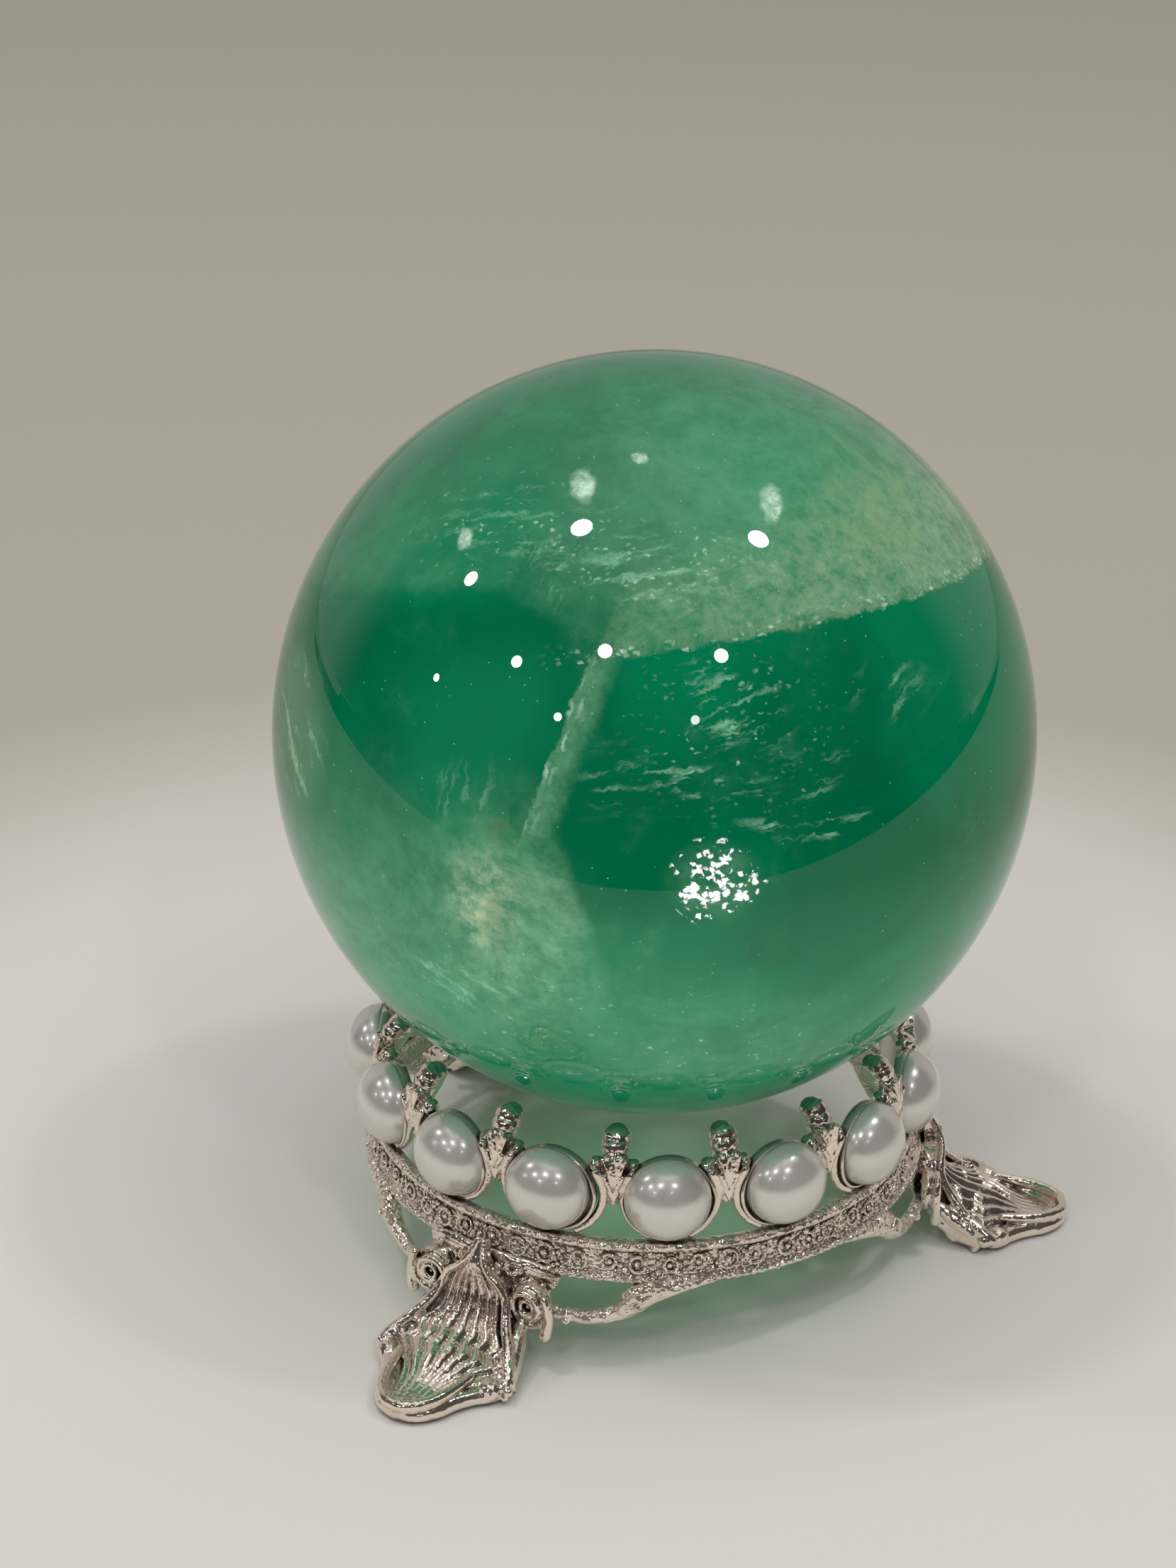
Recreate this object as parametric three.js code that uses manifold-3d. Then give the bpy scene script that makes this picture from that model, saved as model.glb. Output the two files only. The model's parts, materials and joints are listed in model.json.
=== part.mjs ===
// A polished green stone ball on a cast tripod stand with a crown of half pearls.
//
// Millimetres, +Z up. The object stands on z = 0, its front foot points along -Y, and the origin is
// the middle of the box that the object fills, on the surface it stands on. Every stand piece is
// shaped facing -Y with the ring axis at x = y = 0, and then turned about that axis to its azimuth.

import * as THREE from 'three';
import { mergeVertices } from 'three/addons/utils/BufferGeometryUtils.js';
import Module from 'manifold-3d';

const wasm = await Module();
wasm.setup();

// ---- driving dimensions ----

const GAP = 0.3; // clearance left between pieces that touch
const FULL_TURN = 360;

const BALL_RADIUS = 27.5;
const BALL_Z = 40.2;

const PEARL_COUNT = 15;
const PEARL_RADIUS = 3.1;
const PEARL_RISE = 2.8; // from the flat back to the top of the dome
const PEARL_GIRDLE = 0.3; // straight edge between the flat back and the dome
const PEARL_Z = 13.5;
const CROWN_RADIUS = 20; // ring axis to the pearls' flat backs
const CROWN_TURN = 0;

const CUP_RADIUS = 3.45;
const CUP_WALL = 0.28;
const CUP_LIP = 0.4; // how far the rim stands past the pearl's flat back
const CUP_FLOOR = 0.5;

const BAND_TOP = 10;
const BAND_BOTTOM = 7;
const BAND_TOP_RADIUS = 20.7; // outer radius at the upper edge
const BAND_FLARE = 0.6; // how much wider the outer radius is at the lower edge
const BAND_WALL = 0.9;

const FOOT_COUNT = 3;
const TOE_REACH = 33.3; // ring axis to the tip of a toe
const VOLUTE_RADIUS = 1.75;
const VOLUTE_DEPTH = 1.5;
const VOLUTE_SIDE = 4.15; // sideways from the middle of the foot
const VOLUTE_REACH = 22.2; // ring axis to the volute's face
const VOLUTE_Z = 4.9;

const BRACE_RADIUS = 0.6;

// The box runs from the front toe to the back of the ball, and the origin is in its middle.
const RING_AXIS_Y = (TOE_REACH - BALL_RADIUS) / 2;

// ---- finishes ----

const stone = new THREE.MeshStandardMaterial({ color: 0x17855a, roughness: 0.06, metalness: 0 });
const pearl = new THREE.MeshStandardMaterial({ color: 0xe4e0da, roughness: 0.28, metalness: 0 });
const silver = new THREE.MeshStandardMaterial({ color: 0xc9bcb2, roughness: 0.25, metalness: 1 });

// ---- helpers ----

const radians = THREE.MathUtils.degToRad;

// A point of the stand from its azimuth, counted from -Y towards +X, its radius and its height.
function around(azimuth, radius, z) {
  const turn = radians(azimuth);
  return new THREE.Vector3(radius * Math.sin(turn), -radius * Math.cos(turn), z);
}

// A closed skin over a row of loops with equally many points each.
function loft(loops) {
  const count = loops[0].length;
  const last = (loops.length - 1) * count;
  const index = [];
  for (let row = 0; row < last; row += count) {
    for (let i = 0; i < count; i++) {
      const a = row + i;
      const b = row + ((i + 1) % count);
      index.push(a, b + count, b, a, a + count, b + count);
    }
  }
  for (let i = 1; i + 1 < count; i++) {
    index.push(0, i, i + 1);
    index.push(last, last + i + 1, last + i);
  }
  const geometry = new THREE.BufferGeometry().setFromPoints(loops.flat());
  geometry.setIndex(index);
  return geometry;
}

function toSolid(geometry) {
  const bare = geometry.clone();
  bare.deleteAttribute('normal');
  bare.deleteAttribute('uv');
  const merged = mergeVertices(bare);
  return new wasm.Manifold(new wasm.Mesh({
    numProp: 3,
    vertProperties: merged.attributes.position.array,
    triVerts: new Uint32Array(merged.index.array),
  }));
}

function join(geometries) {
  const mesh = geometries.map(toSolid).reduce((whole, piece) => whole.add(piece)).getMesh();
  const joined = new THREE.BufferGeometry();
  joined.setAttribute('position', new THREE.BufferAttribute(mesh.vertProperties, 3));
  joined.setIndex(new THREE.BufferAttribute(mesh.triVerts, 1));
  return joined;
}

// Value at x of a line through [x, value] stations, straight between them.
function along(stations, x) {
  let next = 1;
  while (next < stations.length - 1 && stations[next][0] < x) {
    next += 1;
  }
  const [x0, value0] = stations[next - 1];
  const [x1, value1] = stations[next];
  return THREE.MathUtils.mapLinear(x, x0, x1, value0, value1);
}

// ---- pieces ----

function ballGeometry() {
  return new THREE.SphereGeometry(BALL_RADIUS, 40, 20).rotateX(Math.PI / 2);
}

// Half pearl: flat back at y = 0, dome towards -Y.
function pearlGeometry() {
  const profile = [new THREE.Vector2(0, 0), new THREE.Vector2(PEARL_RADIUS, 0)];
  const rings = 5;
  for (let i = 0; i <= rings; i++) {
    const angle = (i / rings) * (Math.PI / 2);
    const rise = PEARL_GIRDLE + (PEARL_RISE - PEARL_GIRDLE) * Math.sin(angle);
    const radius = i === rings ? 0 : PEARL_RADIUS * Math.cos(angle);
    profile.push(new THREE.Vector2(radius, rise));
  }
  return new THREE.LatheGeometry(profile, 14).rotateX(Math.PI);
}

// Shallow round cup behind a pearl: a floor, and a thin rim round the pearl's girdle.
function cupGeometry() {
  const floor = -GAP;
  const back = floor - CUP_FLOOR;
  const inside = CUP_RADIUS - CUP_WALL;
  const profile = [
    new THREE.Vector2(0, back),
    new THREE.Vector2(CUP_RADIUS, back),
    new THREE.Vector2(CUP_RADIUS, CUP_LIP),
    new THREE.Vector2(inside, CUP_LIP),
    new THREE.Vector2(inside, floor),
    new THREE.Vector2(0, floor),
  ];
  return new THREE.LatheGeometry(profile, 16).rotateX(Math.PI);
}

// Prong between two cups: two short legs on the band, a waist between the cups, a side lobe on
// each hand and a claw that leans in under the ball. Half outline as [side, z], from the inner
// foot of the leg up to the top.
const PRONG_HALF = [
  [1.2, BAND_TOP + GAP],
  [2.1, BAND_TOP + GAP],
  [1.35, 11.2],
  [0.72, 12.3],
  [0.46, 13.5],
  [0.62, 14.7],
  [1.15, 15.4],
  [1.75, 16],
  [1.6, 16.5],
  [1.05, 16.7],
  [0.95, 17.8],
  [0.5, 18.3],
];
const PRONG_ARCH_Z = 11.8; // top of the opening between the legs
// Radii of the claw's outer and inner faces as [z, radius].
const PRONG_OUTSIDE = [[10, 20.7], [14.7, 20.7], [16.5, 19.9], [17.8, 18.9], [18.3, 18.1]];
const PRONG_INSIDE = [[10, 19.6], [14.7, 19.4], [16.5, 18.2], [17.8, 17.2], [18.3, 17.05]];

function prongGeometry() {
  const right = PRONG_HALF.map(([side, z]) => new THREE.Vector2(side, z));
  const left = PRONG_HALF.map(([side, z]) => new THREE.Vector2(-side, z)).reverse();
  const outline = [new THREE.Vector2(0, PRONG_ARCH_Z), ...right, ...left];
  const geometry = new THREE.ExtrudeGeometry(new THREE.Shape(outline), { depth: 1, bevelEnabled: false });
  const place = geometry.attributes.position;
  for (let i = 0; i < place.count; i++) {
    const z = place.getY(i);
    const radius = place.getZ(i) > 0.5 ? along(PRONG_OUTSIDE, z) : along(PRONG_INSIDE, z);
    place.setXYZ(i, place.getX(i), -radius, z);
  }
  return geometry;
}

// The flared band under the crown.
function bandGeometry() {
  const bottomRadius = BAND_TOP_RADIUS + BAND_FLARE;
  const profile = [
    new THREE.Vector2(bottomRadius - BAND_WALL, BAND_BOTTOM),
    new THREE.Vector2(bottomRadius, BAND_BOTTOM),
    new THREE.Vector2(BAND_TOP_RADIUS, BAND_TOP),
    new THREE.Vector2(BAND_TOP_RADIUS - BAND_WALL, BAND_TOP),
  ];
  return new THREE.LatheGeometry([...profile, profile[0].clone()], 60).rotateX(Math.PI / 2);
}

// Leaf foot, from its top outside the band down to the toe. Each station is
// [reach, height, half width, thickness, droop of the edges] of its upper face.
const LEAF = [
  [22.4, 8.6, 0.8, 0.8, 0.1],
  [22.7, 7.6, 1.6, 0.9, 0.2],
  [22.5, 6.6, 2.2, 1.3, 0.3],
  [22.3, 5.6, 2.6, 1.3, 0.4],
  [22.6, 4.6, 2.8, 1.3, 0.5],
  [23.5, 3.5, 3.6, 1.3, 0.9],
  [25.0, 2.5, 4.9, 1.4, 1.4],
  [26.7, 1.8, 5.4, 1.5, 1.1],
  [27.9, 1.5, 4.8, 1.6, 0.8],
  [28.7, 1.3, 3.0, 1.6, 0.1],
  [30.2, 1.3, 2.5, 1.6, 0],
  [31.8, 1.4, 2.2, 1.7, 0],
  [32.9, 1.3, 1.4, 1.7, 0],
  [TOE_REACH, 0.9, 0.6, 1.2, 0],
];
const LEAF_ACROSS = 4; // spans from one edge to the other

function leafLoop(station) {
  const [reach, height, half, thickness, droop] = LEAF[station];
  const before = LEAF[Math.max(0, station - 1)];
  const after = LEAF[Math.min(LEAF.length - 1, station + 1)];
  const run = new THREE.Vector2(after[0] - before[0], after[1] - before[1]).normalize();
  const point = (side, depth) => {
    const sink = droop * (side / half) ** 2 + depth;
    const outward = reach + run.y * sink;
    const up = height - run.x * sink;
    return new THREE.Vector3(side, -outward, Math.max(0, up));
  };
  const sides = Array.from({ length: LEAF_ACROSS + 1 }, (_, i) => half * ((2 * i) / LEAF_ACROSS - 1));
  return [
    ...sides.map((side) => point(side, 0)),
    ...sides.toReversed().map((side) => point(side, thickness)),
  ];
}

function voluteGeometry(side) {
  return new THREE.CylinderGeometry(VOLUTE_RADIUS, VOLUTE_RADIUS, VOLUTE_DEPTH, 16)
    .translate(side, VOLUTE_DEPTH / 2 - VOLUTE_REACH, VOLUTE_Z);
}

function footGeometry() {
  const leaf = loft(LEAF.map((_, station) => leafLoop(station)));
  return join([leaf, voluteGeometry(-VOLUTE_SIDE), voluteGeometry(VOLUTE_SIDE)]);
}

// Scroll brace from beside a volute up to the band. Its route is [azimuth from the foot, radius, z].
const BRACE_ROUTE = [
  [17.5, 21.5, 4.4],
  [21, 21.4, 4.0],
  [25.5, 21.3, 4.3],
  [29, 21.2, 5.0],
  [32, 21, 6],
];

function braceGeometry(hand) {
  const route = BRACE_ROUTE.map(([azimuth, radius, z]) => around(hand * azimuth, radius, z));
  const section = new THREE.Shape().absarc(0, 0, BRACE_RADIUS, 0, 2 * Math.PI);
  return new THREE.ExtrudeGeometry(section, {
    steps: 9,
    curveSegments: 4,
    extrudePath: new THREE.CatmullRomCurve3(route),
    bevelEnabled: false,
  });
}

// ---- assembly ----

const group = new THREE.Group();
const stand = new THREE.Group();
stand.position.y = RING_AXIS_Y;
group.add(stand);

function addPiece(name, geometry, material, azimuth = 0, position = [0, 0, 0]) {
  const turned = new THREE.Group();
  turned.rotation.z = radians(azimuth);
  const piece = new THREE.Mesh(geometry, material);
  piece.name = name;
  piece.position.set(...position);
  turned.add(piece);
  stand.add(turned);
}

addPiece('crystal_ball', ballGeometry(), stone, 0, [0, 0, BALL_Z]);
addPiece('lace_band', bandGeometry(), silver);

const crownStep = FULL_TURN / PEARL_COUNT;
for (let i = 0; i < PEARL_COUNT; i++) {
  const number = String(i + 1).padStart(2, '0');
  const prongAzimuth = CROWN_TURN + i * crownStep;
  const pearlAzimuth = prongAzimuth + crownStep / 2;
  const seat = [0, -CROWN_RADIUS, PEARL_Z];
  addPiece(`prong_${number}`, prongGeometry(), silver, prongAzimuth);
  addPiece(`pearl_cup_${number}`, cupGeometry(), silver, pearlAzimuth, seat);
  addPiece(`half_pearl_${number}`, pearlGeometry(), pearl, pearlAzimuth, seat);
}

const FOOT_NAMES = ['front', 'right', 'left'];
for (let i = 0; i < FOOT_COUNT; i++) {
  const azimuth = (i * FULL_TURN) / FOOT_COUNT;
  addPiece(`leaf_foot_${FOOT_NAMES[i]}`, footGeometry(), silver, azimuth);
  addPiece(`scroll_brace_${FOOT_NAMES[i]}_a`, braceGeometry(1), silver, azimuth);
  addPiece(`scroll_brace_${FOOT_NAMES[i]}_b`, braceGeometry(-1), silver, azimuth);
}

export default group;
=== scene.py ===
# %% [markdown]
# # A green stone ball on a pearl-set stand
#
# The real object is a polished sphere of green stone, loose on a small cast stand: a crown of leaning claws
# with a half pearl between each two, a granulated band under them, and three leaf feet.
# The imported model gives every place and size. This lesson makes the fine surfaces that go on it.

# %% The frame
import json
import math

import bmesh
import bpy
import numpy as np
from mathutils import Matrix, Vector


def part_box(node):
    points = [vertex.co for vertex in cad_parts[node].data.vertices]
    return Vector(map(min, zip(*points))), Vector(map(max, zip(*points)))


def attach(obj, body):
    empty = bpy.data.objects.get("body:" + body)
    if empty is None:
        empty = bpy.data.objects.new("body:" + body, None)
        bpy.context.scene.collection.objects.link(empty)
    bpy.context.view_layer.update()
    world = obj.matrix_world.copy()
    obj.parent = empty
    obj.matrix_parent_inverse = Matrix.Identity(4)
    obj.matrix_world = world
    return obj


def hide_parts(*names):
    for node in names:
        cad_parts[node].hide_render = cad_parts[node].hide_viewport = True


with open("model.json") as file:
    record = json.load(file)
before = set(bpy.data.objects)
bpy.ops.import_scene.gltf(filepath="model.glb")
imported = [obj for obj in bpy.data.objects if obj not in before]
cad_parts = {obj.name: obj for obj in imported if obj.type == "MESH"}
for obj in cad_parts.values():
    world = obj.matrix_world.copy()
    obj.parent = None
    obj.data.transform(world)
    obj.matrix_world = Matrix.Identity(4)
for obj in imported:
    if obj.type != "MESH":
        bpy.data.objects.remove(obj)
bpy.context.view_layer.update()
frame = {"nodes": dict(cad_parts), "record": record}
MM = 0.001

# %% [markdown]
# ## Places and sizes from the frame
#
# Every stand piece is repeated round one upright axis, which is also the ball's. So each kind of piece is
# shaped once, in millimetres, facing the front, and then turned to each place that the frame holds.
# A point is written as side, reach from the axis, and height, and azimuth is counted from -Y towards +X.

# %% Places
def middle(node):
    low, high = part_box(node)
    return (low + high) / 2


BALL = middle("crystal_ball")
BALL_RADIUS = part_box("crystal_ball")[1].z - BALL.z
AXIS = Vector((BALL.x, BALL.y, 0.0))


def azimuth_of(point):
    """Degrees round the axis."""
    return math.degrees(math.atan2(point[0] - AXIS.x, AXIS.y - point[1]))


def azimuths(start):
    return {n: azimuth_of(middle(n)) for n in sorted(frame["nodes"]) if n.startswith(start)}


def facing_box(node, azimuth):
    """A node's corners in millimetres, as (side, reach, height), once it is turned to face the front."""
    turn = np.array(Matrix.Rotation(-math.radians(azimuth), 3, "Z"))
    points = np.array([v.co for v in frame["nodes"][node].data.vertices]) - np.array(AXIS)
    points = points @ turn.T / MM * (1, -1, 1)
    return points.min(0), points.max(0)


PRONGS, PEARLS, CUPS = azimuths("prong"), azimuths("half_pearl"), azimuths("pearl_cup")
FEET = {m["name"].replace("toe_rest_", ""): azimuth_of(m["pos_m"])
        for m in frame["record"]["mounts"]}
PEARL_LOW, PEARL_HIGH = facing_box("half_pearl_01", PEARLS["half_pearl_01"])
CUP_LOW, CUP_HIGH = facing_box("pearl_cup_01", CUPS["pearl_cup_01"])
PRONG_LOW, PRONG_HIGH = facing_box("prong_01", PRONGS["prong_01"])
BAND_LOW, BAND_HIGH = facing_box("lace_band", 0)
FOOT_LOW, FOOT_HIGH = facing_box("leaf_foot_front", FEET["front"])
print("ball radius mm:", round(BALL_RADIUS / MM, 2), "feet at:", {k: round(v) for k, v in FEET.items()})
print("pearl", PEARL_LOW.round(2), PEARL_HIGH.round(2), "cup", CUP_LOW.round(2), CUP_HIGH.round(2))
print("prong", PRONG_LOW.round(2), PRONG_HIGH.round(2), "foot", FOOT_LOW.round(2), FOOT_HIGH.round(2))

# %% [markdown]
# ## The camera
#
# The camera stands to the right of the front foot, looks down at the ball from about twenty centimetres and
# has a long lens, so the far side of the crown is hardly smaller than the near one. It is made first,
# because everything else is judged through it.

# %% Camera
LOOK_AZIMUTH = 30.1
LOOK_ELEVATION = 23.34
LOOK_DISTANCE = 7.48 * BALL_RADIUS
PAN = Vector((-4.63, -3.87)) * MM
ROLL = 1.15


def direction(azimuth, elevation):
    turn, lift = math.radians(azimuth), math.radians(elevation)
    return Vector((math.sin(turn) * math.cos(lift), -math.cos(turn) * math.cos(lift), math.sin(lift)))


towards = direction(LOOK_AZIMUTH, LOOK_ELEVATION)
across = direction(LOOK_AZIMUTH + 90, 0)
upwards = towards.cross(across)
lens = bpy.data.cameras.new("camera")
lens.sensor_width, lens.lens = 36.0, 65.13
lens.clip_start, lens.clip_end = 0.01, 50.0
camera = bpy.data.objects.new("camera", lens)
bpy.context.scene.collection.objects.link(camera)
camera.location = BALL + towards * LOOK_DISTANCE
aim = BALL + across * PAN.x + upwards * PAN.y
look = (aim - camera.location).to_track_quat("-Z", "Y").to_matrix().to_4x4()
camera.matrix_world = (Matrix.Translation(camera.location) @ look
                       @ Matrix.Rotation(math.radians(ROLL), 4, "Z"))
bpy.context.scene.camera = camera
bpy.context.scene.view_settings.view_transform = "Standard"
print("camera at mm:", [round(c / MM, 1) for c in camera.location])

# %% [markdown]
# ## Shader maths as Python
#
# A procedural material is arithmetic on points, and a long chain of Math nodes is hard to read. So one
# small class wraps an output socket, and `a * b + 0.2` adds the nodes. Every other node comes from one
# method, which sets the node's settings first and then its inputs.

# %% Shader helpers
class Value:
    """One output socket of a finish, with arithmetic."""

    def __init__(self, finish, socket):
        self.finish, self.socket = finish, socket

    def __add__(self, other):
        return self.finish.math("ADD", self, other)

    def __sub__(self, other):
        return self.finish.math("SUBTRACT", self, other)

    def __rsub__(self, other):
        return self.finish.math("SUBTRACT", other, self)

    def __mul__(self, other):
        return self.finish.math("MULTIPLY", self, other)

    __radd__ = __add__
    __rmul__ = __mul__


class Finish:
    """A procedural material: its Principled shader and the nodes that feed it."""

    def __init__(self, name):
        self.material = bpy.data.materials.new(name)
        self.material.use_nodes = True
        self.tree = self.material.node_tree
        self.shader = self.tree.nodes["Principled BSDF"]

    def feed(self, socket, value):
        if isinstance(value, Value):
            self.tree.links.new(value.socket, socket)
        else:
            socket.default_value = value

    def node(self, kind, settings=None, inputs=None, out=0):
        made = self.tree.nodes.new(kind)
        for key, value in (settings or {}).items():
            setattr(made, key, value)
        for key, value in (inputs or {}).items():
            self.feed(made.inputs[key], value)
        return Value(self, made.outputs[out])

    def math(self, operation, *values):
        return self.node("ShaderNodeMath", {"operation": operation}, dict(enumerate(values)))

    def vector(self, operation, *values, out=0):
        return self.node("ShaderNodeVectorMath", {"operation": operation},
                         dict(enumerate(values)), out)

    def dot(self, point, axis):
        return self.vector("DOT_PRODUCT", point, axis, out=1)

    def step(self, value, start, end):
        """0 before start, 1 after end, and smooth between."""
        return self.node("ShaderNodeMapRange", {"interpolation_type": "SMOOTHSTEP"},
                         {0: value, 1: start, 2: end})

    def mix(self, share, first, second):
        return self.node("ShaderNodeMix", {"data_type": "RGBA"}, {0: share, 6: first, 7: second}, out=2)

    def noise(self, point, scale, detail=3.0, rough=0.5, out=0):
        return self.node("ShaderNodeTexNoise", None,
                         {"Vector": point, "Scale": scale, "Detail": detail, "Roughness": rough}, out)

    def bump(self, height, distance, strength=1.0):
        return self.node("ShaderNodeBump", None,
                         {"Height": height, "Distance": distance, "Strength": strength})

    def set(self, **values):
        for key, value in values.items():
            self.feed(self.shader.inputs[key.replace("_", " ")], value)
        return self.material


def rgb(red, green, blue):
    """A colour as a painter names it, 0 to 255, made linear for the shader."""
    return (*((c / 255 / 12.92 if c <= 10 else ((c / 255 + 0.055) / 1.055) ** 2.4)
              for c in (red, green, blue)), 1.0)


print("a mid grey, linear:", round(rgb(128, 128, 128)[0], 3))

# %% [markdown]
# ## The stage
#
# The object stands on a plain pale floor. Light and shade are painted into its colour: brightest where
# the object stands and darker further off, so that the floor alone makes the soft horizon behind the ball.
# A paper sweep could make that horizon too, but a painted floor keeps it in the same place from every side.

# %% Floor
FLOOR_PALE, FLOOR_MID, FLOOR_FAR = rgb(224, 221, 216), rgb(184, 179, 168), rgb(182, 177, 166)
PALE_TO_MID, MID_TO_FAR = (0.060, 0.120), (0.12, 0.5)  # distances from the axis, in metres
FLOOR_RADIUS = 6.0


def disc(name, inner, outer, height, centre, azimuths_seen=(0, 360), steps=128):
    """A flat ring, or a full disc where inner is 0, or a sector of one."""
    turns = np.radians(np.linspace(*azimuths_seen, steps + 1))
    rim = np.column_stack([np.sin(turns), -np.cos(turns)])
    points = [(*(centre + spoke * r), height) for r in (max(inner, 1e-6), outer) for spoke in rim]
    faces = [(i, i + steps + 1, i + steps + 2, i + 1) for i in range(steps)]
    mesh = bpy.data.meshes.new(name)
    mesh.from_pydata(points, [], faces)
    made = bpy.data.objects.new(name, mesh)
    bpy.context.scene.collection.objects.link(made)
    return made


paint = Finish("floor_paint")
place_on_floor = paint.node("ShaderNodeTexCoord", None, None, "Object")
off = paint.vector("LENGTH", place_on_floor, out=1)
# painted light and shade: the floor's colour is lighter near the object and darker further off
ground = paint.mix(paint.step(off, *PALE_TO_MID), FLOOR_PALE, FLOOR_MID)
ground = paint.mix(paint.step(off, *MID_TO_FAR), ground, FLOOR_FAR)
paint.set(Base_Color=ground, Roughness=0.9, Specular_IOR_Level=0.1)
floor = disc("floor", 0.0, FLOOR_RADIUS, 0.0, np.array(AXIS.xy))
floor.data.materials.append(paint.material)
print("floor radius m:", FLOOR_RADIUS)

# %% [markdown]
# A polished ball is a mirror of its room. Here the far side of the room is pale and the near side is dark,
# and the pale cloth ends a hand's breadth in front of the ball. Walls could be built for this. Two cards
# just above the floor are simpler, and only reflections see them: a dark one for what lies in front of the
# cloth's edge, and a pale one far behind. The world's colour goes on above them in the same way, and adds
# a pale ceiling overhead.

# %% Room
ROOM_DARK, ROOM_PALE = (0.020, 0.018, 0.016, 1), (0.40, 0.385, 0.36, 1)
ROOM_CEILING, ROOM_FILL = (0.78, 0.75, 0.71, 1), (0.30, 0.29, 0.275, 1)
ROOM_EDGE, ROOM_BLUR = 0.33, 0.16
CEILING_EDGE = 0.76, 0.98
CLOTH_RADIUS, CLOTH_AWAY, CLOTH_HALF_ANGLE = 0.632, 0.507, 92
CARD_OUTER, CARD_HEIGHT = 5.0, 0.0004
FAR_INNER, FAR_HEIGHT, FAR_HALF_ANGLE = 1.3, 0.0006, 106
away = Vector((-across.y, across.x, 0.0))
card = disc("reflection_card", CLOTH_RADIUS, CARD_OUTER, CARD_HEIGHT,
            np.array((AXIS + away * CLOTH_AWAY).xy),
            (LOOK_AZIMUTH - CLOTH_HALF_ANGLE, LOOK_AZIMUTH + CLOTH_HALF_ANGLE))
black = Finish("card_black")
black.set(Base_Color=rgb(16, 14, 13), Roughness=1.0, Specular_IOR_Level=0.0)
card.data.materials.append(black.material)

far_card = disc("reflection_far_card", FAR_INNER, FLOOR_RADIUS, FAR_HEIGHT, np.array(AXIS.xy),
                (LOOK_AZIMUTH + FAR_HALF_ANGLE, LOOK_AZIMUTH + 360 - FAR_HALF_ANGLE))
haze = Finish("card_pale")
haze.set(Base_Color=(0, 0, 0, 1), Specular_IOR_Level=0.0, Emission_Color=ROOM_PALE,
         Emission_Strength=1.0)
far_card.data.materials.append(haze.material)
for shown in (card, far_card):
    for sight in ("camera", "diffuse", "transmission", "volume_scatter", "shadow"):
        setattr(shown, "visible_" + sight, False)

world = bpy.data.worlds.new("room")
bpy.context.scene.world = world
world.use_nodes = True


class Room(Finish):
    """The same helpers for the world's nodes."""

    def __init__(self, made):
        self.tree, self.shader = made.node_tree, made.node_tree.nodes["Background"]


room = Room(world)
sight_line = room.node("ShaderNodeTexCoord", None, None, "Generated")
facing = room.dot(sight_line, tuple(away))
overhead = room.step(room.dot(sight_line, (0, 0, 1)), *CEILING_EDGE)
mirrored = room.mix(room.step(facing, ROOM_EDGE - ROOM_BLUR, ROOM_EDGE + ROOM_BLUR), ROOM_DARK, ROOM_PALE)
mirrored = room.mix(overhead, mirrored, ROOM_CEILING)
lit = room.node("ShaderNodeLightPath", None, None, "Is Glossy Ray")
room.feed(room.shader.inputs["Color"], room.mix(lit, ROOM_FILL, mirrored))
print("reflection cards:", [shown.name for shown in (card, far_card)])

# %% [markdown]
# A large soft lamp overhead lights the object. Small round ceiling lamps in rows give the ball and the
# pearls their sharp highlights. Light that passes through the stone tints the floor under it, and a weak
# green lamp below the ball stands for that, because the ball itself is made opaque.

# %% Lamps
CEILING = 1.6
LAMP_SIZE, LAMP_WATTS = 0.16, 2.6
SOFT_SPOT = BALL + Vector((0, 0, 1.1)) - away * 0.25 + across * 0.06
SOFT_SIZE, SOFT_WATTS = 1.2, 5.6
TINT_SPOT = BALL - Vector((0, 0, BALL_RADIUS + 0.4 * MM))
TINT_SIZE, TINT_WATTS = 24 * MM, 0.0007
LAMP_SPOTS = [(-1.80, -0.10, 1.0), (-0.55, -0.10, 1.0), (0.72, -0.10, 1.0),  # across, away, power
              (-1.80, -1.52, 1.0), (-0.55, -1.52, 1.0), (0.72, -1.52, 1.0),
              (-1.80, -3.10, 0.8), (0.72, -3.10, 0.4), (-4.30, -1.30, 1.0)]


def lamp(name, spot, size, watts, colour=(1, 1, 1), shape="DISK", glossy=True, target=None):
    light = bpy.data.lights.new(name, "AREA")
    light.shape, light.size, light.energy, light.color = shape, size, watts, colour
    made = bpy.data.objects.new(name, light)
    bpy.context.scene.collection.objects.link(made)
    made.location = spot
    made.rotation_mode = "QUATERNION"
    made.rotation_quaternion = ((target or BALL) - spot).to_track_quat("-Z", "Y")
    made.visible_glossy = glossy
    made.visible_camera = False
    return made


for i, (across_m, away_m, power) in enumerate(LAMP_SPOTS):
    spot = BALL + across * across_m + away * away_m + Vector((0, 0, CEILING))
    lamp(f"ceiling_{i}", spot, LAMP_SIZE, LAMP_WATTS * power)
lamp("soft_overhead", SOFT_SPOT, SOFT_SIZE, SOFT_WATTS, (1.0, 0.98, 0.95), "SQUARE", glossy=False)
lamp("light_through_the_stone", TINT_SPOT, TINT_SIZE, TINT_WATTS, (0.16, 0.72, 0.36), glossy=False,
     target=AXIS)

# %% [markdown]
# ## The metal
#
# The stand is cast in white metal and plated, so it is a warm silver that has stayed bright on the ridges
# and gone brown in the crevices. Ambient Occlusion finds the crevices on any shape. A little noise in
# the roughness and the normal breaks the reflections up, as a cast skin does.

# %% Plated metal
TARNISH, SILVER_WARM, SILVER_PALE = rgb(60, 43, 34), rgb(236, 216, 202), rgb(255, 246, 238)
CREVICE = 0.8 * MM


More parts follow.
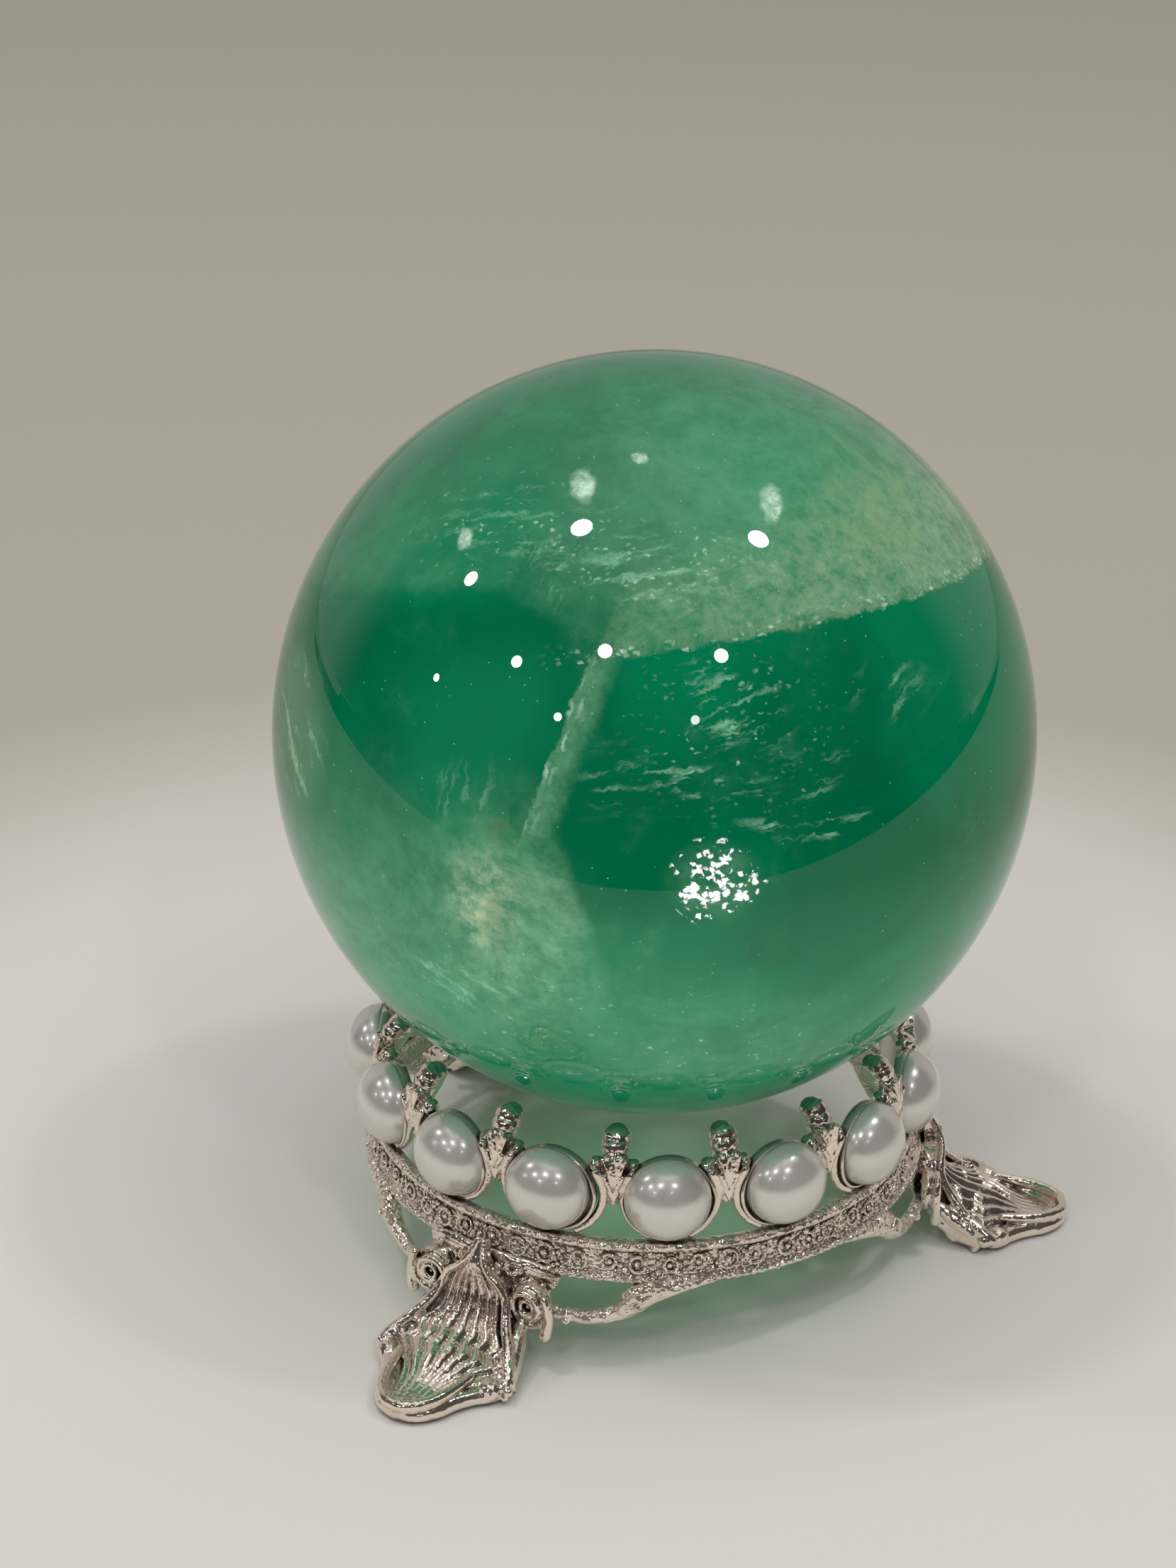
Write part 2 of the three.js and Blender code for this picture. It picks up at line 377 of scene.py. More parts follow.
def plated(name, mirror, grain, fleck):
    """mirror is how much of the look is reflection, grain and fleck the bump heights in millimetres."""
    metal = Finish(name)
    point = metal.node("ShaderNodeTexCoord", None, None, "Object")
    open_sky = metal.node("ShaderNodeAmbientOcclusion", {"samples": 4}, {"Distance": CREVICE}, "AO")
    tone = metal.noise(point, 420.0, 3.0)
    spots = metal.noise(point, 1900.0, 2.0)
    bright = metal.step(open_sky + (tone - 0.5) * 0.6 + (spots - 0.5) * 0.7, 0.34, 0.72)
    colour = metal.mix(bright, TARNISH, metal.mix(tone, SILVER_WARM, SILVER_PALE))
    rough = 0.34 - bright * 0.22 + (spots - 0.5) * 0.20
    flakes = metal.node("ShaderNodeTexVoronoi", {"feature": "F1"}, {"Vector": point, "Scale": 3000.0},
                        "Distance")
    skin_bump = metal.bump(metal.noise(point, 1500.0, 3.0), grain * MM, 0.7)
    normal = metal.node("ShaderNodeBump", None, {"Height": flakes, "Distance": fleck * MM,
                                                 "Strength": 0.8, "Normal": skin_bump})
    metal.set(Base_Color=colour, Metallic=mirror, Roughness=rough, Normal=normal)
    return metal.material


CAST = plated("cast_plating", 0.80, 0.10, 0.14)
POLISHED = plated("polished_plating", 0.95, 0.08, 0.03)
LEAFY = plated("leaf_plating", 0.92, 0.05, 0.03)
RIM = plated("rim_plating", 0.70, 0.03, 0.01)
print("metals:", [metal.name for metal in (CAST, POLISHED, LEAFY, RIM)])

# %% [markdown]
# ## Shapes of wire, beads and turned forms
#
# A model maker builds such a casting from wax: rolled threads, small balls and thin plates, pressed
# together. The same parts serve here. A thread is a tube along a smooth line, a bead is a small
# icosphere, and a turned form is a profile spun round its axis.

# %% Wax parts
def flow(rows, steps=8):
    """A smooth line through rows of numbers, by Catmull-Rom."""
    p = np.array(rows, float)
    p = np.vstack([2 * p[0] - p[1], p, 2 * p[-1] - p[-2]])
    t = np.linspace(0, 1, steps, endpoint=False)[:, None]
    spans = [0.5 * (2 * b + (c - a) * t + (2 * a - 5 * b + 4 * c - d) * t**2
                    + (3 * b - a - 3 * c + d) * t**3)
             for a, b, c, d in zip(p, p[1:], p[2:], p[3:])]
    return np.vstack([*spans, p[-2:-1]])


def grid_faces(rings, around, closed=False):
    """Quads between rings of points, with a flat cap at both ends unless the rings close."""
    last = rings if closed else rings - 1
    faces = [(i * around + j, i * around + (j + 1) % around,
              (i + 1) % rings * around + (j + 1) % around, (i + 1) % rings * around + j)
             for i in range(last) for j in range(around)]
    if not closed:
        faces += [tuple(reversed(range(around))), tuple(range((rings - 1) * around, rings * around))]
    return faces


def thread(rows, sides=12, steps=8, closed=False):
    """A round tube with round ends through rows of side, reach, height and radius."""
    rows = [*rows, rows[0]] if closed else rows
    line = flow(rows, steps)
    line = line[:-1] if closed else line
    spine, radius = line[:, :3] * (1, -1, 1), np.maximum(line[:, 3], 0.02)
    along = (np.roll(spine, -1, 0) - np.roll(spine, 1, 0)) if closed else np.gradient(spine, axis=0)
    along /= np.linalg.norm(along, axis=1)[:, None]
    if not closed:
        caps = np.radians([82, 55, 28])
        start = [spine[0] - along[0] * radius[0] * math.sin(a) for a in caps]
        finish = [spine[-1] + along[-1] * radius[-1] * math.sin(a) for a in caps[::-1]]
        spine = np.vstack([start, spine, finish])
        radius = np.concatenate([radius[0] * np.cos(caps), radius, radius[-1] * np.cos(caps[::-1])])
        along = np.vstack([[along[0]] * 3, along, [along[-1]] * 3])
    side = np.cross(along[0], (0.0, 0.0, 1.0))
    if np.linalg.norm(side) < 0.1:
        side = np.cross(along[0], (1.0, 0.0, 0.0))
    turns = np.linspace(0, 2 * math.pi, sides, endpoint=False)
    points = []
    for centre, r, ahead in zip(spine, radius, along):
        side = side - ahead * (side @ ahead)
        side /= np.linalg.norm(side)
        other = np.cross(ahead, side)
        points += [centre + r * (math.cos(a) * side + math.sin(a) * other) for a in turns]
    return np.array(points), grid_faces(len(spine), sides, closed)


def make_grain():
    ball = bmesh.new()
    bmesh.ops.create_icosphere(ball, subdivisions=2, radius=1.0)
    points = np.array([v.co for v in ball.verts])
    faces = [tuple(v.index for v in f.verts) for f in ball.faces]
    ball.free()
    return points, faces


GRAIN = make_grain()


def bead(side, reach, height, radius, press=(1, 1, 1)):
    return GRAIN[0] * radius * np.array(press) + (side, -reach, height), GRAIN[1]


def turned(profile, steps=64):
    """Spins rows of radius and reach round the outward axis. The profile starts and ends on it."""
    turns = np.linspace(0, 2 * math.pi, steps, endpoint=False)
    points = [(r * math.cos(a), -reach, r * math.sin(a)) for r, reach in profile for a in turns]
    return np.array(points), grid_faces(len(profile), steps)


def hoop(profile, steps=240):
    """Spins a closed loop of radius and height round the upright axis."""
    turns = np.linspace(0, 2 * math.pi, steps, endpoint=False)
    points = [(r * math.sin(a), -r * math.cos(a), z) for a in turns for r, z in profile]
    return np.array(points), grid_faces(steps, len(profile), closed=True)


print("a bead has", len(GRAIN[1]), "faces")

# %% [markdown]
# ## From wax to casting
#
# Pressed parts have seams where they meet, and a casting has none. A voxel remesh melts closed shells into
# one skin, and a light smoothing rounds the joints as plating does. The remesh works in millimetres,
# because its smallest voxel in metres would be too coarse.

# %% Casting and placing
def skin(name, shells):
    """One mesh, still in millimetres, from closed shells."""
    mesh = bpy.data.meshes.new(name)
    starts = np.cumsum([0] + [len(points) for points, _ in shells])
    faces = [tuple(i + start for i in face) for (_, group), start in zip(shells, starts) for face in group]
    mesh.from_pydata(np.vstack([points for points, _ in shells]).tolist(), [], faces)
    work = bmesh.new()
    work.from_mesh(mesh)
    bmesh.ops.recalc_face_normals(work, faces=work.faces)
    work.to_mesh(mesh)
    work.free()
    mesh.shade_smooth()
    return mesh


def cast(name, shells, voxel=0.09, soften=2):
    """Fuses the shells into one skin and returns it in millimetres."""
    wax = bpy.data.objects.new(name + ".wax", skin(name + ".wax", shells))
    bpy.context.scene.collection.objects.link(wax)
    fuse = wax.modifiers.new("fuse", "REMESH")
    fuse.mode, fuse.voxel_size, fuse.use_smooth_shade = "VOXEL", voxel, True
    round_off = wax.modifiers.new("round_off", "SMOOTH")
    round_off.factor, round_off.iterations = 0.5, soften
    ready = wax.evaluated_get(bpy.context.evaluated_depsgraph_get())
    mesh = bpy.data.meshes.new_from_object(ready)
    mesh.name = name
    rough = wax.data
    bpy.data.objects.remove(wax)
    bpy.data.meshes.remove(rough)
    mesh.shade_smooth()
    print(name, "faces:", len(mesh.polygons))
    return mesh


def place(name, shape, material, node, azimuth=0.0):
    """Puts a copy of a shape round the axis, in place of its plain node. Its place is in its mesh."""
    mesh = shape.copy()
    mesh.name = name
    mesh.transform(Matrix.Translation(AXIS) @ Matrix.Rotation(math.radians(azimuth), 4, "Z")
                   @ Matrix.Scale(MM, 4))
    mesh.materials.append(material)
    piece = bpy.data.objects.new(name, mesh)
    bpy.context.scene.collection.objects.link(piece)
    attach(piece, "stand")
    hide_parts(node)
    return piece


# %% [markdown]
# ## The half pearls
#
# Each is an imitation half pearl, flat behind, glued into its cup. A pearl's lustre is a soft mirror under
# a milky skin: it shows the bright floor below, the dark room as a brown belt, and the lamps as small
# soft spots. A half-metallic base with a gloss coat gives both, and painted shade greys the base colour
# towards the outline.

# %% Pearls
PEARL_Z = (PEARL_LOW[2] + PEARL_HIGH[2]) / 2
PEARL_RADIUS = (PEARL_HIGH[2] - PEARL_LOW[2]) / 2
PEARL_BACK = PEARL_LOW[1]
PEARL_GIRDLE = 0.3
PEARL_RISE = PEARL_HIGH[1] - PEARL_BACK - PEARL_GIRDLE

quarter = np.linspace(0, math.pi / 2, 22)
dome = [(PEARL_RADIUS * math.cos(a) ** 0.98, PEARL_BACK + PEARL_GIRDLE + PEARL_RISE * math.sin(a))
        for a in quarter[:-1]]
pearl_profile = [(0.05, PEARL_BACK), (PEARL_RADIUS * 0.95, PEARL_BACK), (PEARL_RADIUS, PEARL_BACK + 0.08),
                 *dome, (0.04, PEARL_HIGH[1])]
nacre = Finish("pearl_lustre")
spot = nacre.node("ShaderNodeTexCoord", None, None, "Object")
cloudy = nacre.noise(spot, 300.0, 3.0)
# painted shade: the base colour turns greyer and darker towards the pearl's outline, where it is seen at a
# slant
painted_rim_shade = nacre.node("ShaderNodeLayerWeight", None, {"Blend": 0.35}, "Facing")
milk = nacre.mix(cloudy, rgb(226, 220, 216), rgb(238, 235, 230))
milk = nacre.mix(painted_rim_shade * 0.6, milk, rgb(204, 200, 190))
nacre.set(Base_Color=milk, Metallic=0.45, Roughness=0.27 + (cloudy - 0.5) * 0.06, IOR=1.6,
          Coat_Weight=1.0, Coat_Roughness=0.10, Coat_IOR=1.7,
          Normal=nacre.bump(nacre.noise(spot, 1800.0, 2.0), 0.012 * MM, 0.4))
pearl_mesh = skin("pearl", [turned(pearl_profile)])
pearl_mesh.transform(Matrix.Translation((0, 0, PEARL_Z)))
for node, azimuth in PEARLS.items():
    place(node.replace("half_pearl", "pearl"), pearl_mesh, nacre.material, node, azimuth)
print("pearls:", len(PEARLS), "radius", round(PEARL_RADIUS, 2), "rise", round(PEARL_RISE, 2))

# %% [markdown]
# ## The cups
#
# Each pearl sits in a shallow round cup. From above only a thin bright lip shows, below the pearl and
# beside it, because the casting's upper edge is dressed down behind the pearl. The cup is turned from one
# profile, and then its upper side is drawn in and back.

# %% Cups
CUP_RADIUS = (CUP_HIGH[2] - CUP_LOW[2]) / 2
CUP_BACK, CUP_FRONT = CUP_LOW[1], CUP_HIGH[1]
LIP = 0.13
DRAWN_IN, DRAWN_BACK = 0.13, 0.35
lip_round = [(CUP_RADIUS - LIP + LIP * math.cos(a), CUP_FRONT - LIP + LIP * math.sin(a))
             for a in np.linspace(-0.5, 3.4, 9)]
cup_profile = [(0.05, CUP_BACK), (CUP_RADIUS * 0.72, CUP_BACK), (CUP_RADIUS * 0.90, CUP_BACK + 0.12),
               (CUP_RADIUS - 0.08, CUP_BACK + 0.38), *lip_round,
               (PEARL_RADIUS - 0.10, CUP_FRONT - 0.30), (0.05, CUP_FRONT - 0.42)]
points, faces = turned(cup_profile)
upper = np.clip(points[:, 2] / CUP_RADIUS, 0, 1) ** 0.7
points *= 1 - upper[:, None] * DRAWN_IN * (1, 0, 1)
points[:, 1] = np.minimum(points[:, 1] + upper * DRAWN_BACK * (points[:, 1] < -CUP_BACK - 0.2), -CUP_BACK)
cup_mesh = skin("cup_rim", [(points, faces)])
cup_mesh.transform(Matrix.Translation((0, 0, (CUP_LOW[2] + CUP_HIGH[2]) / 2)))
for node, azimuth in CUPS.items():
    place(node.replace("pearl_cup", "cup_rim"), cup_mesh, RIM, node, azimuth)
print("cup radius", round(CUP_RADIUS, 2), "from reach", round(CUP_BACK, 2), "to", round(CUP_FRONT, 2))

# %% [markdown]
# ## The claws
#
# Between each two cups a claw rises, like a small lily. Its legs hug the cups down to the band, a narrow
# neck passes between them, two round buds sit at its shoulders, and a blunt round cap leans in under the
# ball. Below the cap two facets are filed flat. It is built of threads, beads and wedges, and cast.

# %% Claws
FOOT_Z, TIP_Z, OUTSIDE = PRONG_LOW[2], PRONG_HIGH[2], PRONG_HIGH[1]
CUP_SIDE = PEARL_BACK * math.sin(math.pi / len(PEARLS))
CLAW_VOXEL = 0.06


def claw_row(side, inward, height, radius):
    """A point of the claw, from its outer face inwards and from its foot up."""
    return side, OUTSIDE - inward, FOOT_Z + height, radius


def both_sides(rows):
    return [rows, [(-side, *rest) for side, *rest in rows]]


def wedge(top_sides, point_side, top, low, inward, depth=0.8):
    """A filed facet: a flat triangle on its front, wide at the top and pointed below."""
    left, right = top_sides
    front = [(left, inward[0], top), (right, inward[0], top), (point_side, inward[1], low)]
    back = [(side, d + depth, h) for side, d, h in front]
    points = np.array([claw_row(s, d, h, 0)[:3] for s, d, h in front + back]) * (1, -1, 1)
    return points, [(0, 1, 2), (5, 4, 3), (0, 3, 4, 1), (1, 4, 5, 2), (2, 5, 3, 0)]


def along_cup(start, end, away=0.02):
    """Side and height of points on the circle just outside the cup's edge, by angle below level."""
    reach = CUP_RADIUS + away
    return [(CUP_SIDE - reach * math.cos(a), PEARL_Z - FOOT_Z - reach * math.sin(a))
            for a in np.radians(np.linspace(start, end, 6))]


claw_shells = [
    thread([claw_row(0, 0.72, 2.7, 0.34), claw_row(0, 0.70, 3.6, 0.46), claw_row(0, 0.80, 4.5, 0.78),
            claw_row(0, 1.10, 5.5, 0.92), claw_row(0, 1.75, 6.5, 0.96), claw_row(0, 2.35, 7.1, 0.86)], 18),
    bead(0, OUTSIDE - 1.95, TIP_Z - 0.90, 0.90, (1.16, 1.0, 1.0)),
    bead(0, OUTSIDE - 1.60, TIP_Z - 1.35, 0.95, (1.12, 1.0, 0.9)),
    wedge((-0.88, -0.02), -0.36, 6.25, 5.1, (0.32, 0.02)),
    wedge((0.04, 0.92), 0.42, 6.30, 4.6, (0.30, -0.02)),
    wedge((-0.42, 0.46), 0.06, 3.75, 2.75, (0.05, 0.12), 0.7),
]
for rows in [
    *both_sides([claw_row(s, 0.46 + 0.04 * i, h, 0.36 - 0.012 * i)
                 for i, (s, h) in enumerate(along_cup(-32, 62))]),
    *both_sides([claw_row(0.35, 1.0, 3.9, 0.38), claw_row(0.95, 1.05, 4.7, 0.46),
                 claw_row(1.35, 1.25, 5.4, 0.48)]),
    *both_sides([claw_row(0.10, 0.30, 3.3, 0.17), claw_row(0.28, 0.16, 4.1, 0.19),
                 claw_row(0.62, 0.22, 4.9, 0.20)]),
    *both_sides([claw_row(0.30, 0.34, 3.4, 0.15), claw_row(0.70, 0.34, 4.2, 0.18),
                 claw_row(1.15, 0.60, 4.9, 0.20)]),
]:
    claw_shells.append(thread(rows, 12))
for side in (-1, 1):
    claw_shells.append(bead(side * 1.26, OUTSIDE - 1.15, FOOT_Z + 5.25, 0.64, (1, 1.1, 1.05)))
    claw_shells.append(bead(side * 0.50, OUTSIDE - 0.45, FOOT_Z + 6.38, 0.20))
    claw_shells.append(bead(side * 1.35, OUTSIDE - 0.60, FOOT_Z + 5.45, 0.20))
claw_mesh = cast("claw", claw_shells, CLAW_VOXEL, 1)
for node, azimuth in PRONGS.items():
    place(node.replace("prong", "claw"), claw_mesh, POLISHED, node, azimuth)

# %% [markdown]
# ## The granulated band
#
# The band is a flared ribbon with a smooth rolled upper edge. Its outside is worked all over with small
# rosettes, each a ring round a grain, with grains between them and a row of grains along the lower edge.
# The grains are beads half sunk in the ribbon, placed by counting round it.

# %% Band
BAND_BOTTOM, BAND_TOP = BAND_LOW[2], BAND_HIGH[2]
BAND_OUT = BAND_HIGH[1]
ROSETTES = 60
EDGE_GRAINS = 210
GRAINS_EACH = 16
draw = np.random.default_rng(7)


def ribbon_radius(height):
    """The worked face's radius: wider at the bottom."""
    share = (height - BAND_BOTTOM) / (BAND_TOP - BAND_BOTTOM)
    return BAND_OUT - 0.22 - 0.55 * share ** 0.8


def on_ribbon(degrees, height, proud=0.0):
    turn, r = math.radians(degrees), ribbon_radius(height) + proud
    return r * math.sin(turn), r * math.cos(turn), height


def grain(degrees, height, radius, proud=0.0):
    return bead(*on_ribbon(degrees, height, proud), radius)


def rosette(degrees, height, size, thick, points=14):
    """A small ring lying on the ribbon."""
    wide = math.degrees(size / BAND_OUT)
    rows = [(*on_ribbon(degrees + wide * math.cos(a), height + size * math.sin(a), 0.04), thick)
            for a in np.linspace(0, 2 * math.pi, points, endpoint=False)]
    return thread(rows, 8, 1, closed=True)


top, low = BAND_TOP, BAND_BOTTOM
ribbon = [(BAND_OUT - 0.95, top), (BAND_OUT - 0.62, top), (BAND_OUT - 0.42, top - 0.12),
          (BAND_OUT - 0.36, top - 0.38), (BAND_OUT - 0.46, top - 0.58),
          *[(ribbon_radius(h), h) for h in np.linspace(top - 0.72, low + 0.52, 5)],
          (BAND_OUT - 0.10, low + 0.40), (BAND_OUT - 0.02, low + 0.20), (BAND_OUT - 0.14, low + 0.02),
          (BAND_OUT - 0.75, low), (BAND_OUT - 1.05, low + 0.3), (BAND_OUT - 1.45, top - 0.3),
          (BAND_OUT - 1.35, top - 0.06)]
band_shells = [hoop(ribbon)]
for i in range(ROSETTES):
    turn = 360 / ROSETTES * (i + draw.uniform(-0.12, 0.12))
    half = 180 / ROSETTES
    middle_z = (top + low) / 2 - 0.08 + draw.uniform(-0.12, 0.12)
    band_shells.append(rosette(turn, middle_z, draw.uniform(0.48, 0.72), draw.uniform(0.11, 0.17)))
    band_shells.append(grain(turn + draw.uniform(-0.3, 0.3), middle_z, draw.uniform(0.2, 0.32), 0.02))
    for _ in range(GRAINS_EACH):
        height = low + 0.5 + (top - low - 1.1) * draw.uniform(0, 1)
        band_shells.append(grain(turn + half * draw.uniform(0.3, 1.7), height, draw.uniform(0.10, 0.26)))
for i in range(EDGE_GRAINS):
    band_shells.append(grain(360 / EDGE_GRAINS * i, low + 0.22, 0.25 * draw.uniform(0.8, 1.15), 0.10))
band_mesh = skin("granulated_band", band_shells)
place("granulated_band", band_mesh, CAST, "lace_band")
print("band shells:", len(band_shells), "faces:", len(band_mesh.polygons))

# %% [markdown]
# ## The leaf feet
#
# Each foot is one acanthus leaf. It starts in a point under the band, is pinched at a waist between two
# spiral volutes, fans out into ridged side lobes and ends in a spoon-shaped toe with a raised rim. The
# leaf could be sculpted, but a grid along a curved line gives ridges that fan with its width and can be
# changed by one number. Volutes, rims and grains are wax parts added to it before the foot is cast in one.

# %% Leaf
LEAF_LINE = [  # reach, height, half width, thickness, edge droop, ridge height
    (22.1, 9.0, 0.35, 0.7, 0.05, 0.04), (22.6, 8.0, 0.60, 0.9, 0.1, 0.12),
    (22.9, 7.2, 0.95, 1.1, 0.2, 0.24), (23.0, 6.5, 1.75, 1.2, 0.3, 0.32),
    (23.0, 5.7, 2.45, 1.3, 0.3, 0.36), (23.1, 4.8, 2.80, 1.3, 0.4, 0.40),
    (23.8, 3.8, 3.2, 1.3, 0.8, 0.38), (25.0, 3.0, 4.4, 1.3, 1.3, 0.38),
    (26.4, 2.45, 5.0, 1.4, 1.35, 0.34), (27.7, 1.95, 4.4, 1.4, 0.9, 0.28),
    (28.8, 1.40, 3.1, 1.3, 0.2, 0.16), (30.0, 1.0, 2.4, 0.95, 0.0, 0.05),
    (31.5, 0.85, 1.9, 0.85, 0.0, 0.0), (32.5, 0.85, 1.1, 0.85, 0.0, 0.0)]
RIDGES = 9


def leaf_shell(line, across_steps=177, along_steps=8):
    """The ridged leaf as a closed shell: its upper face, and an under face one thickness below."""
    stations = flow(line, along_steps)
    reach, height, half, thick, droop, ridge = stations.T
    ahead = np.gradient(np.column_stack([reach, height]), axis=0)
    ahead /= np.linalg.norm(ahead, axis=1)[:, None]
    v = np.linspace(-1, 1, across_steps)
    rows = []
    for i in range(len(stations)):
        out = np.array([-ahead[i][1], ahead[i][0]])
        share = i / (len(stations) - 1)
        scallop = 1 + 0.09 * math.sin(share * 62) * math.exp(-((share - 0.60) / 0.11) ** 2)
        fan = v + 0.05 * np.sin(3 * v + share * 7)
        waves = np.abs(np.cos(fan * RIDGES * math.pi / 2)) ** 0.7
        lift = 1.35 * ridge[i] * (waves - 0.5) - droop[i] * v**2
        upper = np.column_stack([half[i] * scallop * v, reach[i] + out[0] * lift,
                                 height[i] + out[1] * lift])
        under = np.column_stack([half[i] * scallop * v, reach[i] - out[0] * (thick[i] + droop[i] * v**2),
                                 height[i] - out[1] * (thick[i] + droop[i] * v**2)])
        rows.append(np.vstack([upper, under[::-1]]))
    points = np.vstack(rows) * (1, -1, 1)
    points[:, 2] = np.maximum(points[:, 2], 0.0)
    return points, grid_faces(len(stations), 2 * across_steps)


print("leaf stations:", len(flow(LEAF_LINE, 8)), "ridges:", RIDGES)

# %% [markdown]
# The volutes are spirals of thread on a round plate. A spiral could be cut into the plate, but the real
# one stands up from it like a rolled wire, so a wire it is.

# %% Volutes
VOLUTE_SIDE, VOLUTE_Z, VOLUTE_REACH = 4.15, 4.95, 22.45
VOLUTE_START, VOLUTE_TURN, VOLUTE_STEPS = 2.5, 0.42, 22
VOLUTE_OUT, VOLUTE_IN = 1.74, 1.05
PLATE = [(0.05, 21.3), (1.45, 21.3), (1.62, 21.75), (1.5, 22.2), (0.9, 22.25), (0.05, 22.1)]
TAIL = [(1.66, 22.4, 5.4, 0.32), (1.78, 22.45, 4.3, 0.36), (1.62, 22.5, 3.5, 0.44), (1.50, 22.5, 3.1, 0.46)]
EYE = 0.52


def volute(sign):
    """A spiral thread on a round back plate, with a ring eye in its middle and a tail on its outer side."""
    middle_side = sign * VOLUTE_SIDE
    spiral = []
    for k in range(VOLUTE_STEPS + 1):
        share, turn = k / VOLUTE_STEPS, VOLUTE_START + k * VOLUTE_TURN
        size = VOLUTE_OUT - VOLUTE_IN * share ** 0.8
        spiral.append((middle_side - sign * size * math.cos(turn), VOLUTE_REACH + 0.15 * share,
                       VOLUTE_Z + size * math.sin(turn), 0.33 - 0.08 * share))
    plate = turned(PLATE, 32)
    back = plate[0] + (middle_side, 0, VOLUTE_Z), plate[1]
    eye = thread([(middle_side + EYE * math.cos(a), 22.6, VOLUTE_Z + EYE * math.sin(a), 0.17)
                  for a in np.linspace(0, 2 * math.pi, 10, endpoint=False)], 10, 2, closed=True)
    tail = thread([(middle_side + sign * out, *rest) for out, *rest in TAIL])
    return [back, thread(spiral, 10, 3), tail, eye, bead(middle_side, 22.35, VOLUTE_Z, 0.22)]


print("shells in a volute:", len(volute(1)))

# %% [markdown]
# Behind the leaf a web of arcs joins it to the band. Both edges of the leaf carry a raised rim, the toe has
# a second one round its spoon and a thicker one under it, and grains cover the lobes. Each line is written
# once, for one side, and mirrored.

# %% Rims, web and grains
LEAF_RIM = [(0.25, 22.2, 8.9, 0.18), (0.70, 22.9, 7.7, 0.22), (1.25, 23.1, 6.9, 0.26),
            (2.20, 23.0, 6.0, 0.32), (2.70, 23.1, 5.0, 0.34), (3.2, 23.8, 3.8, 0.38),
            (4.2, 25.0, 2.5, 0.42), (5.0, 26.2, 1.7, 0.44), (5.3, 27.0, 1.2, 0.38)]
SPOON_RIM = [(3.0, 27.9, 1.85, 0.30), (2.75, 29.2, 1.68, 0.38), (2.40, 30.6, 1.58, 0.42),
             (1.75, 31.9, 1.48, 0.44), (0.8, 32.75, 1.40, 0.44), (0.0, 32.88, 1.38, 0.43)]
UNDER_RIM = [(4.6, 26.0, 0.95, 0.60), (4.5, 27.3, 0.68, 0.66), (3.5, 28.5, 0.68, 0.66),
             (2.75, 29.8, 0.66, 0.64), (2.2, 31.2, 0.64, 0.62), (1.2, 32.3, 0.62, 0.60),
             (0, 32.65, 0.62, 0.60)]
LOBE_STEM = [(3.6, 22.2, 3.3, 0.50), (3.9, 23.2, 2.9, 0.55), (4.3, 24.4, 2.1, 0.60), (4.7, 25.6, 1.4, 0.62)]
WEB = [(7.2, 14.6), (6.8, 14.2), (6.4, 13.6), (6.0, 12.8), (5.6, 11.8),  # height, degrees to each side
       (5.2, 11.0), (4.8, 10.2), (4.4, 9.6), (4.0, 9.0), (3.6, 8.6)]
LOBE_RIBS = 5
LOBE_GRAINS, WEB_GRAINS = 60, 12


def on_side(rows, sign):
    return [(sign * side, *rest) for side, *rest in rows]


def lobe_rib(k):
    """One of the ribs that fill the side lobe, counted outwards."""
    return [(3.3 + 0.15 * k, 22.0 + 0.25 * k, 3.4 - 0.35 * k, 0.5),
            (3.7 + 0.12 * k, 23.2 + 0.2 * k, 2.9 - 0.40 * k, 0.52),
            (4.1 + 0.10 * k, 24.5 + 0.1 * k, 2.1 - 0.30 * k, 0.55),
            (4.6 + 0.04 * k, 25.8, 1.4 - 0.15 * k, 0.58)]


def arc_row(degrees, reach, height, radius):
    """A point round the axis from the foot's middle."""
    turn = math.radians(degrees)
    return reach * math.sin(turn), reach * math.cos(turn), height, radius


def web_arc(height, half):
    """A thread round the axis that thins and drops at both ends."""
    lowest = WEB[-1][0]
    return thread([arc_row(a, 21.5 - 0.14 * (height - lowest), height - 0.5 * abs(a / half) ** 6,
                           0.52 - 0.25 * abs(a / half) ** 6)
                   for a in np.linspace(-half, half, 17)], 14, 2)


def scattered_grains(sign, pick):
    """Small beads by chance over the lobe, and along the web's outside."""
    grains = []
    for _ in range(LOBE_GRAINS):
        share = pick.uniform(0, 1)
        grains.append(bead(sign * (3.4 + 2.0 * share + pick.uniform(-0.3, 0.3)),
                           24.3 + 2.6 * share + pick.uniform(-0.6, 0.6),
                           2.4 - 1.5 * share + pick.uniform(-0.45, 0.25), pick.uniform(0.16, 0.34)))
    for _ in range(WEB_GRAINS):
        grains.append(bead(*arc_row(sign * pick.uniform(5, 15), 21.85, pick.uniform(6.0, 7.2), 0)[:3],
                           pick.uniform(0.16, 0.27)))
    return grains


print("web arcs:", len(WEB), "grains on a side:", LOBE_GRAINS + WEB_GRAINS)

# %% Feet
FOOT_VOXEL = 0.085
FOOT_DRAW = 11


def foot_shells():
    pick = np.random.default_rng(FOOT_DRAW)
    shells = [leaf_shell(LEAF_LINE), *(web_arc(height, half) for height, half in WEB)]
    for sign in (-1, 1):
        shells += volute(sign)
        shells += [thread(on_side(rows, sign)) for rows in (LEAF_RIM, SPOON_RIM, UNDER_RIM, LOBE_STEM)]
        shells += [thread(on_side(lobe_rib(k), sign), 10, 3) for k in range(LOBE_RIBS)]
        shells.append(bead(sign * 4.35, 27.5, 1.0, 0.85, (1, 1, 0.9)))
        shells.append(bead(sign * 5.05, 26.5, 1.15, 0.70, (1, 1, 0.9)))
        shells += scattered_grains(sign, pick)
    return shells


for place_name, azimuth in FEET.items():
    foot_mesh = cast("acanthus_foot_" + place_name, foot_shells(), FOOT_VOXEL, 1)
    place("acanthus_foot_" + place_name, foot_mesh, LEAFY, "leaf_foot_" + place_name, azimuth)

